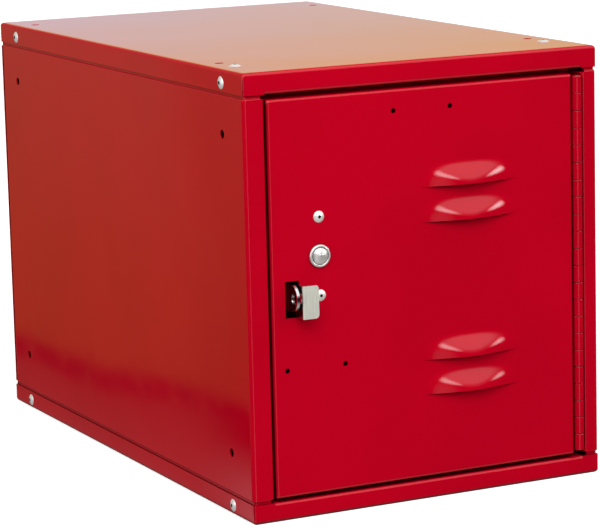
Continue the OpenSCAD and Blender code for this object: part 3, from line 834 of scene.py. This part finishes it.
HINGE_LOW, HINGE_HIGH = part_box("hinge_frame_leaf")
KNUCKLE_RADIUS = HINGE.y - HINGE_LOW.y
KNUCKLE_PITCH = 12.7 * MM
KNUCKLE_GAP = 0.3 * MM
KNUCKLE_BORE = 2.45 * MM
LEAF_SHEET = 1.4 * MM
LEAF_GAP = 0.35 * MM  # between the knuckles of one leaf and the plate of the other


def build_leaf(name, node, side, first):
    """One leaf. Its knuckles are the even ones or the odd ones."""
    low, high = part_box(node)
    outer = high.x if side > 0 else low.x
    inner = outer - side * LEAF_SHEET
    leaf_front = HINGE.y + KNUCKLE_RADIUS + LEAF_GAP
    count = round((HINGE_HIGH.z - HINGE_LOW.z) / KNUCKLE_PITCH)
    across = sorted((outer, inner))
    bm = bmesh.new()
    add_box(bm, (across[0], leaf_front, HINGE_LOW.z), (across[1], high.y, HINGE_HIGH.z))
    for i in range(first, count, 2):
        start = HINGE_LOW.z + i * KNUCKLE_PITCH + KNUCKLE_GAP / 2
        length = KNUCKLE_PITCH - KNUCKLE_GAP
        add_box(bm, (across[0], HINGE.y, start), (across[1], leaf_front + SHEET, start + length))
        ring = [(KNUCKLE_BORE, 0), (KNUCKLE_RADIUS, 0), (KNUCKLE_RADIUS, length)]
        ring += [(KNUCKLE_BORE, length), (KNUCKLE_BORE, 0)]
        lathe(bm, ring, Matrix.Translation((HINGE.x, HINGE.y, start)), steps=40)
    bmesh.ops.remove_doubles(bm, verts=bm.verts, dist=WELD)
    obj = mesh_object(bm, name)
    bevel(obj, 0.35 * MM, segments=3)
    return obj


def build_pin():
    """A plain rod with rounded ends."""
    low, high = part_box("hinge_pin")
    radius = (high.x - low.x) / 2
    length = high.z - low.z
    rounding = 0.4 * MM
    profile = [(0, 0), (radius - rounding, 0), (radius, rounding)]
    profile += [(radius, length - rounding), (radius - rounding, length), (0, length)]
    bm = bmesh.new()
    lathe(bm, profile, Matrix.Translation((HINGE.x, HINGE.y, low.z)), steps=32)
    return mesh_object(bm, "pin_rod")


# -------- materials


class Tree:
    """The node tree of a material or a world, with short ways to add to it."""

    def __init__(self, owner):
        owner.use_nodes = True
        self.tree = owner.node_tree
        self.tree.nodes.clear()

    def add(self, kind, *values, **settings):
        """A new node, with values for its first inputs, and settings for set()."""
        node = self.tree.nodes.new(kind)
        self.set(node, **settings)
        for value, target in zip(values, node.inputs):
            self.put(value, target)
        return node

    def set(self, node, **settings):
        """A setting is one of the node's inputs, such as base_color, or a property."""
        inputs = {target.name.lower().replace(" ", "_"): target for target in node.inputs}
        for key, value in settings.items():
            if key in inputs:
                self.put(value, inputs[key])
            else:
                setattr(node, key, value)

    def link(self, source, target):
        self.tree.links.new(source, target)

    def put(self, value, target):
        """value is a number, a colour, or another node's output."""
        if isinstance(value, bpy.types.NodeSocket):
            self.link(value, target)
        elif isinstance(value, tuple) and len(value) == 3 and target.type == "RGBA":
            target.default_value = (*value, 1)
        else:
            target.default_value = value

    def math(self, operation, first, second):
        return self.add("ShaderNodeMath", first, second, operation=operation).outputs["Value"]

    def vectors(self, operation, first, second, output="Vector"):
        node = self.add("ShaderNodeVectorMath", first, second, operation=operation)
        return node.outputs[output]

    def mix(self, factor, first, second):
        """A blend of two colours."""
        node = self.add("ShaderNodeMix", data_type="RGBA")
        self.put(factor, node.inputs[0])
        self.put(first, node.inputs[6])
        self.put(second, node.inputs[7])
        return node.outputs[2]

    def remap(self, value, low, high, to_low=0.0, to_high=1.0, kind="SMOOTHSTEP"):
        """Takes values from between low and high to between to_low and to_high."""
        values = (value, low, high, to_low, to_high)
        return self.add("ShaderNodeMapRange", *values, interpolation_type=kind).outputs["Result"]


class Surface(Tree):
    """A new material."""

    def __init__(self, name):
        self.material = bpy.data.materials.new(name)
        super().__init__(self.material)
        self.surface = self.add("ShaderNodeBsdfPrincipled")
        self.add("ShaderNodeOutputMaterial", self.surface.outputs["BSDF"])
        self.spot = self.add("ShaderNodeTexCoord").outputs["Object"]

    def finish(self, **settings):
        """Sets the surface's inputs, and gives the material."""
        self.set(self.surface, **settings)
        return self.material

    def noise(self, scale, detail=2.0, stretch=(1, 1, 1), roughness=0.5):
        """A value from 0 to 1 that varies over scale spots in a metre."""
        spot = self.add("ShaderNodeMapping", self.spot, scale=stretch).outputs["Vector"]
        settings = {"scale": scale, "detail": detail, "roughness": roughness}
        return self.add("ShaderNodeTexNoise", spot, **settings).outputs["Fac"]

    def bump(self, height, distance, strength=1.0, normal=None):
        node = self.add("ShaderNodeBump", strength, distance, height=height)
        if normal:
            self.link(normal, node.inputs["Normal"])
        return node.outputs["Normal"]

    def edges(self, radius):
        """1 along sharp edges and folds, 0 on flat faces."""
        rounded = self.add("ShaderNodeBevel", radius, samples=4).outputs["Normal"]
        flat = self.add("ShaderNodeNewGeometry").outputs["Normal"]
        return self.remap(self.vectors("DOT_PRODUCT", rounded, flat, "Value"), 0.995, 0.8)

    def openness(self, reach, low, high):
        """1 in the open, 0 deep in a gap or a groove."""
        node = self.add("ShaderNodeAmbientOcclusion", samples=6, distance=reach)
        return self.remap(node.outputs["AO"], low, high)


def grey(level):
    return (level, level, level)


def scaled(colour, factor):
    return tuple(min(channel * factor, 1) for channel in colour)


BLACK = grey(0.0)
WHITE = grey(1.0)
RED = (0.57, 0.0004, 0.0150)
WORN_RED = (0.60, 0.012, 0.03)


def red_powder_coat():
    """Glossy red powder coat: orange peel, a faint wave, thinner and duller on edges, and painted shade in gaps
    and grooves.
    """
    n = Surface("red powder coat")
    patches = n.noise(9, 3)
    tone = n.mix(n.remap(patches, 0.35, 0.7), RED, scaled(RED, 0.93))
    edge = n.math("MULTIPLY", n.edges(0.9 * MM), n.remap(n.noise(420, 4), 0.35, 0.75))
    worn = n.mix(n.math("MULTIPLY", edge, 0.35), tone, WORN_RED)
    smear = n.remap(n.noise(22, 5, roughness=0.65), 0.4, 0.75)
    gloss = n.remap(smear, 0, 1, 0.03, 0.07)
    rough = n.math("ADD", gloss, n.math("MULTIPLY", edge, 0.12))
    wave = n.bump(n.noise(7, 1), 0.8 * MM, 0.35)
    peel = n.bump(n.noise(330, 2), 0.014 * MM, 0.3, wave)
    grain = n.bump(n.noise(2600, 2), 0.004 * MM, 0.3, peel)
    # painted shade: the coat turns dark and reflects less deep in gaps, seams and grooves
    clear = n.openness(4 * MM, 0.42, 0.92)
    return n.finish(
        base_color=n.mix(clear, scaled(RED, 0.2), worn), roughness=rough, normal=grain,
        ior=1.5, specular_ior_level=n.remap(clear, 0, 1, 0.15, 0.5),
    )


def metal(
    name, colour, roughness, brushed=None, dents=0.0, spots=(300, 0.25), shine=1.0, shade_reach=2 * MM
):
    """A bare or plated metal. brushed is the stretch of its grain, dents the depth of its
    ripple, spots the scale and strength of its stains, shine how mirror-like it is, and
    the last argument how wide a gap is darkened as painted shade."""
    n = Surface(name)
    scale, strength = spots
    stain = n.remap(n.noise(scale, 4, roughness=0.6), 0.35, 0.75)
    base = n.mix(stain, colour, scaled(colour, 1 - strength))
    normal = n.bump(n.noise(140, 2), max(dents, 0.005 * MM), 0.5)
    rough = n.remap(stain, 0, 1, roughness, min(roughness * 1.5 + 0.03, 1))
    if brushed:
        hair = n.noise(1, 4, stretch=brushed, roughness=0.7)
        base = n.mix(n.remap(hair, 0.3, 0.7), base, scaled(colour, 0.72))
        normal = n.bump(hair, 0.03 * MM, 0.6, normal)
        rough = n.math("ADD", rough, n.remap(hair, 0.3, 0.7, -0.04, 0.08))
    edge = n.edges(0.25 * MM)
    base = n.mix(n.math("MULTIPLY", edge, 0.4), base, scaled(colour, 1.25))
    # painted shade: darker deep in gaps, such as round the base of a rivet head
    base = n.mix(n.openness(shade_reach, 0.5, 0.95), scaled(colour, 0.05), base)
    return n.finish(base_color=base, metallic=shine, roughness=rough, normal=normal)


def black_rubber():
    """Matt rubber with some dust."""
    n = Surface("black rubber")
    dust = n.remap(n.noise(600, 4), 0.5, 0.8)
    return n.finish(
        base_color=n.mix(dust, grey(0.02), (0.09, 0.085, 0.08)),
        roughness=n.remap(dust, 0, 1, 0.55, 0.8),
        normal=n.bump(n.noise(2500, 3), 0.05 * MM, 0.6),
    )


def floor_paper():
    """Matt white paper that glows a little, so that the floor is as white as the rest."""
    n = Surface("floor paper")
    return n.finish(
        base_color=n.mix(n.noise(3, 2), grey(0.93), grey(0.96)),
        roughness=0.9,
        normal=n.bump(n.noise(400, 3), 0.1 * MM, 0.2),
        emission_color=WHITE,
        emission_strength=0.55,
    )


RED_COAT = red_powder_coat()
ALUMINIUM = metal("rivet aluminium", (0.92, 0.92, 0.89), 0.34, spots=(900, 0.12), shine=0.35)
# near-black mandrel: painted shade in the hole of each rivet head
MANDREL_SHADE = metal("mandrel painted as shade", (0.04, 0.035, 0.03), 0.5, spots=(1500, 0.5), shine=0.3)
# the zinc of the pull gets painted shade up to 9 mm into gaps, which darkens its leg beside the staple
ZINC = metal(
    "brushed zinc", (0.88, 0.87, 0.77), 0.38,
    brushed=(2200, 2200, 60), spots=(120, 0.12), shine=0.35, shade_reach=9 * MM,
)
BRIGHT_ZINC = metal("bright zinc", (0.52, 0.50, 0.46), 0.16, spots=(250, 0.3))
CHROME = metal("polished chrome", (0.78, 0.78, 0.79), 0.1, spots=(200, 0.15))
# the plug gets painted shade about 1 mm into the groove round its dome
PLATED = metal(
    "plated steel", (0.86, 0.84, 0.81), 0.28,
    dents=0.01 * MM, spots=(160, 0.12), shine=0.6, shade_reach=1.0 * MM,
)
SPRING = metal("spring steel", (0.45, 0.44, 0.42), 0.3, brushed=(60, 60, 1800))
PIN_STEEL = metal("pin steel", (0.50, 0.49, 0.47), 0.28, brushed=(1500, 1500, 40))
RUBBER = black_rubber()


# -------- assembly


def assemble_cabinet():
    coated = (
        (build_pan("top_tray", TOP, 1, TOP_RIM, "top_holes"), "top_pan"),
        (build_pan("bottom_tray", BASE, -1, BOTTOM_RIM, "bottom_holes"), "bottom_pan"),
        (build_side_panel("left_wall", -1), "left_side_panel"),
        (build_side_panel("right_wall", 1), "right_side_panel"),
        (build_back_panel(), "back_panel"),
        (build_leaf("frame_leaf", "hinge_frame_leaf", 1, 0), "hinge_frame_leaf"),
    )
    for obj, node in coated:
        finish_piece(obj, [RED_COAT], "cabinet", node)
    finish_piece(build_pin(), [PIN_STEEL], "cabinet", "hinge_pin")
    finish_piece(build_staple(), [CHROME], "cabinet", "padlock_staple")
    finish_piece(build_bumpers(), [RUBBER], "cabinet", "door_bumpers")


def assemble_door():
    leaf = build_leaf("door_leaf", "hinge_door_leaf", -1, 1)
    finish_piece(build_door(), [RED_COAT], "door", "door_panel")
    finish_piece(leaf, [RED_COAT], "door", "hinge_door_leaf")
    finish_piece(build_pull(), [ZINC, BRIGHT_ZINC], "door", "pull_hasp")
    finish_piece(build_catch(), [SPRING], "door", "friction_catch")
    finish_piece(build_plug(), [PLATED], "door", "lock_hole_plug")


# Head radius, head height and shank radius
SMALL_RIVET = (3.0 * MM, 1.2 * MM, 1.6 * MM)
DOOR_RIVET = (4.25 * MM, 1.6 * MM, 2.0 * MM)
FRAME_RIVET = (4.7 * MM, 1.6 * MM, 2.4 * MM)


def assemble_rivets():
    groups = (
        ("left_side_rivets", (-1, 0, 0), FRAME_RIVET, "cabinet"),
        ("right_side_rivets", (1, 0, 0), FRAME_RIVET, "cabinet"),
        ("top_corner_rivets", (0, 0, 1), FRAME_RIVET, "cabinet"),
        ("back_rivets", (0, 1, 0), FRAME_RIVET, "cabinet"),
        ("staple_rivets", (0, -1, 0), SMALL_RIVET, "cabinet"),
        ("hinge_frame_rivets", (-1, 0, 0), SMALL_RIVET, "cabinet"),
        ("hinge_door_rivets", (1, 0, 0), SMALL_RIVET, "door"),
        ("lock_rivets", (0, -1, 0), DOOR_RIVET, "door"),
    )
    for node, axis, size, body in groups:
        obj = build_rivets(node.replace("rivets", "pops"), node, axis, *size)
        finish_piece(obj, [ALUMINIUM, MANDREL_SHADE], body, node)


# -------- light and camera


GLOW_CORE = 1  # the angle from a glow's middle to where it starts to fade, in degrees
GLOW_REACH = 12  # and to where it has faded
GLOWS = (((0.13, -0.92, 0.36), 7.0), ((0.82, -0.53, 0.22), 14.0))  # direction, strength


class Surroundings(Tree):
    """The studio around the object. The camera sees it white. Reflections see a room, by
    the direction (x, y, z) that they look in."""

    def __init__(self):
        world = bpy.data.worlds.new("studio")
        bpy.context.scene.world = world
        super().__init__(world)
        self.direction = self.add("ShaderNodeTexCoord").outputs["Generated"]
        self.x, self.y, self.z = self.add("ShaderNodeSeparateXYZ", self.direction).outputs

    def stretch(self, value, low, high):
        """0 at low, 1 at high, and a straight line between them."""
        return self.remap(value, low, high, kind="LINEAR")

    def ramp(self, value, *stops):
        """The colours of stops of (value, colour), and blends of them in between."""
        node = self.add("ShaderNodeValToRGB", value)
        elements = node.color_ramp.elements
        for element, (position, colour) in zip(elements, (stops[0], stops[-1])):
            element.position = position
            element.color = (*colour, 1)
        for position, colour in stops[1:-1]:
            elements.new(position).color = (*colour, 1)
        return node.outputs["Color"]

    def glow(self, towards, strength):
        """A soft round light."""
        aim = tuple(Vector(towards).normalized())
        cosine = self.vectors("DOT_PRODUCT", self.direction, aim, "Value")
        reach, core = (math.cos(math.radians(angle)) for angle in (GLOW_REACH, GLOW_CORE))
        edge = self.stretch(cosine, reach, core)
        return self.math("MULTIPLY", self.math("MULTIPLY", edge, edge), strength)

    def wall(self):
        """Behind, above the horizon: warmer to the right and higher up, up to a dark
        cornice, and brown towards the left."""
        warm = self.math("ADD", self.x, self.math("MULTIPLY", self.z, 6))
        wall = self.mix(self.stretch(warm, 0.915, 1.21), (0.71, 0.77, 0.82), (0.82, 0.70, 0.33))
        wall = self.mix(self.stretch(self.z, 0.36, 0.46), wall, (0.06, 0.05, 0.05))
        return self.mix(self.stretch(self.x, 0.25, -0.1), wall, (0.25, 0.18, 0.12))

    def table(self):
        """Behind, below the horizon: brown, then the dark far edge of a table, then its
        paler top. To the left the edge is wider and darker and the top is paler, and
        farther left both end."""
        height = self.math("SUBTRACT", self.z, self.math("MULTIPLY", self.x, 0.39))
        height = self.stretch(height, -0.11, 0.05)
        left = self.ramp(
            height,
            (0.0, (0.55, 0.50, 0.52)), (0.11, (0.30, 0.24, 0.23)), (0.17, (0.06, 0.05, 0.05)),
            (0.19, BLACK), (0.26, BLACK), (0.275, (0.17, 0.10, 0.02)),
            (0.60, (0.23, 0.14, 0.04)), (0.95, (0.26, 0.16, 0.07)),
        )
        right = self.ramp(
            height,
            (0.0, (0.20, 0.16, 0.14)), (0.14, (0.14, 0.11, 0.08)), (0.215, (0.11, 0.08, 0.05)),
            (0.23, grey(0.02)), (0.262, grey(0.02)), (0.28, (0.22, 0.14, 0.03)),
            (0.50, (0.28, 0.165, 0.045)), (0.95, (0.33, 0.23, 0.12)),
        )
        table = self.mix(self.stretch(self.x, -0.396, -0.412), right, left)
        return self.mix(self.stretch(self.x, -0.5, -0.62), table, grey(0.02))

    def window(self, beside, level):
        """In front: an upright strip of light, with what is beside it."""
        across = self.stretch(self.x, -0.4, 0.15)
        strip = self.ramp(across, (0.0, BLACK), (0.3, WHITE), (0.7, WHITE), (1.0, BLACK))
        return self.mix(strip, beside, grey(level))

    def room(self):
        """A softbox overhead, of which the front edge is seen in the louvres, and a dark
        floor that is pale close by. What is behind the object meets them at its sides."""
        softbox = self.ramp(
            self.z,
            (0.12, grey(0.01)), (0.32, grey(0.35)),
            (0.46, grey(1.15)), (1.0, grey(1.15)),
        )
        near = self.stretch(self.z, -0.75, -0.35)
        floor = self.mix(near, (0.45, 0.43, 0.4), grey(0.01))
        behind = self.stretch(self.y, 0.0, 0.3)
        upper = self.mix(behind, self.window(softbox, 0.7), self.wall())
        lower = self.mix(behind, self.window(floor, 0.6), self.table())
        return self.mix(self.stretch(self.z, -0.06, 0.04), lower, upper)

    def build(self):
        seen = self.room()
        for towards, strength in GLOWS:
            seen = self.vectors("ADD", seen, self.glow(towards, strength))
        is_camera = self.add("ShaderNodeLightPath").outputs["Is Camera Ray"]
        background = self.add("ShaderNodeBackground", self.mix(is_camera, seen, WHITE))
        self.add("ShaderNodeOutputWorld", background.outputs["Background"])


def area_light(name, spot, size, power):
    """A rectangular light that faces the middle of the object."""
    data = bpy.data.lights.new(name, "AREA")
    data.shape = "RECTANGLE"
    data.size, data.size_y = size
    data.energy = power
    light = add_object(name, data)
    light.location = spot
    aim = MIDDLE - Vector(spot)
    light.rotation_euler = aim.to_track_quat("-Z", "Y").to_euler()


def build_floor():
    """A large sheet of paper that the object's paint doesn't reflect."""
    bm = bmesh.new()
    bmesh.ops.create_grid(bm, x_segments=8, y_segments=8, size=4)
    floor = mesh_object(bm, "studio_floor")
    floor.data.materials.append(floor_paper())
    floor.visible_glossy = False
    floor.visible_diffuse = False


CAMERA_SPOT = (-0.9797, -2.0055, 0.5448)
CAMERA_LENS = 172.7
CAMERA_AZIMUTH = math.radians(-26.34)
CAMERA_ELEVATION = math.radians(10.35)
CAMERA_ROLL = math.radians(-1.46)


def build_camera():
    """A long lens, to the left of the front and a little above."""
    data = bpy.data.cameras.new("camera")
    data.lens = CAMERA_LENS
    data.sensor_width = 36
    data.clip_start = 0.05
    data.clip_end = 30
    camera = add_object("camera", data)
    azimuth = Matrix.Rotation(CAMERA_AZIMUTH, 4, "Z")
    elevation = Matrix.Rotation(math.pi / 2 - CAMERA_ELEVATION, 4, "X")
    roll = Matrix.Rotation(CAMERA_ROLL, 4, "Z")
    camera.matrix_world = Matrix.Translation(CAMERA_SPOT) @ azimuth @ elevation @ roll
    bpy.context.scene.camera = camera


def build_studio():
    Surroundings().build()
    build_floor()
    area_light("front fill", (-0.55, -1.2, 1.3), (1.2, 0.9), 11.5)
    area_light("lock side fill", (-2.4, -0.2, 0.7), (1.6, 1.4), 19.3)
    build_camera()
    bpy.context.scene.view_settings.view_transform = "Standard"


assemble_cabinet()
assemble_door()
assemble_rivets()
build_studio()
